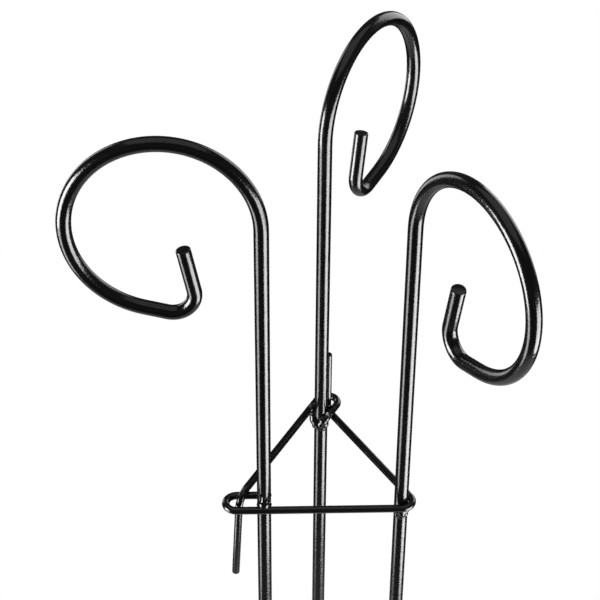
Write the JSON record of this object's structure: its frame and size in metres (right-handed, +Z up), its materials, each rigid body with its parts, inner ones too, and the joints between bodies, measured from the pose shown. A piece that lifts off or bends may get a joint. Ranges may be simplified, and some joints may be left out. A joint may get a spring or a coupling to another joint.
{
  "type": "three-arm feeder pole stand",
  "caption": "Slim black garden stand of steel rod poles with curled hanger hooks and ground spikes, tied by wire links; the rear pole lifts off the front frame.",
  "frame": {"origin": "at ground level, midway between the two front poles and a third of the way back to the rear pole", "axes": "+Z up along the poles, +X to the right along the pair of front poles, +Y from the front pair to the rear pole"},
  "size_m": [0.2336, 0.2557, 1.504],
  "materials": {
    "rod_paint": "gloss",
    "wire_paint": "gloss",
    "weld_paint": "gloss"
  },
  "bodies": {
    "front_frame": {"pole_left": "rod_paint", "pole_right": "rod_paint", "frame_wire_upper": "wire_paint", "frame_wire_lower": "wire_paint", "weld_left_front_upper": "weld_paint", "weld_left_back_upper": "weld_paint", "weld_right_upper": "weld_paint", "weld_left_front_lower": "weld_paint", "weld_left_back_lower": "weld_paint", "weld_right_lower": "weld_paint"},
    "rear_frame": {"pole_rear": "rod_paint", "latch_wire_upper": "wire_paint", "latch_wire_lower": "wire_paint", "weld_rear_left_upper": "weld_paint", "weld_rear_right_upper": "weld_paint", "weld_rear_left_lower": "weld_paint", "weld_rear_right_lower": "weld_paint"}
  },
  "joints": [
    {"name": "rear_frame_lift", "type": "slide", "parent": "front_frame", "child": "rear_frame", "axis": [0, 0, 1], "range_m": [0, 0.06]}
  ]
}
